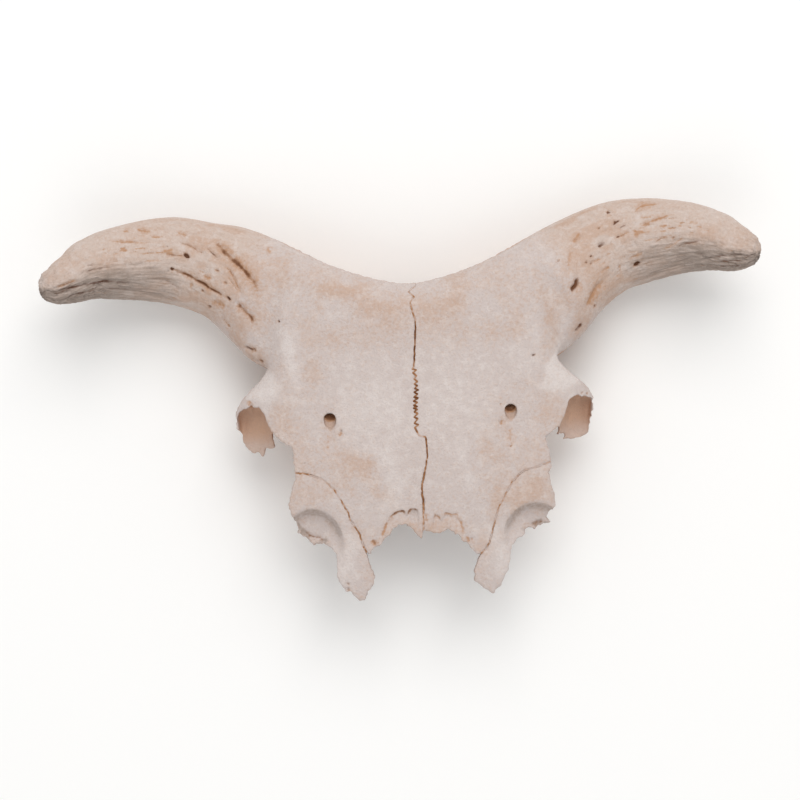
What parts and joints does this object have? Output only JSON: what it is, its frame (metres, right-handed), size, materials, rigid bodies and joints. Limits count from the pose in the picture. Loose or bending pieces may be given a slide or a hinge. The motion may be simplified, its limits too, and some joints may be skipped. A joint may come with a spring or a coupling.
{
  "type": "horned skull cap",
  "caption": "Bare forehead of a young bovine skull with paired horn cores, open middle suture, broken orbit processes and nasal notch, lying on its back.",
  "frame": {"origin": "on the ground under the middle of the bounding box", "axes": "+X from the left horn tip to the right one as seen from the front, +Y towards the poll, +Z out of the forehead"},
  "size_m": [0.3603, 0.1981, 0.056],
  "materials": {
    "left_frontal_bone": "dry matt bone, pale pinkish cream with tan patches; ceramic stands in for bone",
    "right_frontal_bone": "dry matt bone, pale pinkish cream with tan patches; ceramic stands in for bone",
    "left_lacrimal_bone": "dry matt bone, pale pinkish cream with tan patches; ceramic stands in for bone",
    "right_lacrimal_bone": "dry matt bone, pale pinkish cream with tan patches; ceramic stands in for bone"
  },
  "bodies": {
    "root": {"left_frontal_bone": "left_frontal_bone", "right_frontal_bone": "right_frontal_bone", "left_lacrimal_bone": "left_lacrimal_bone", "right_lacrimal_bone": "right_lacrimal_bone"}
  },
  "joints": []
}
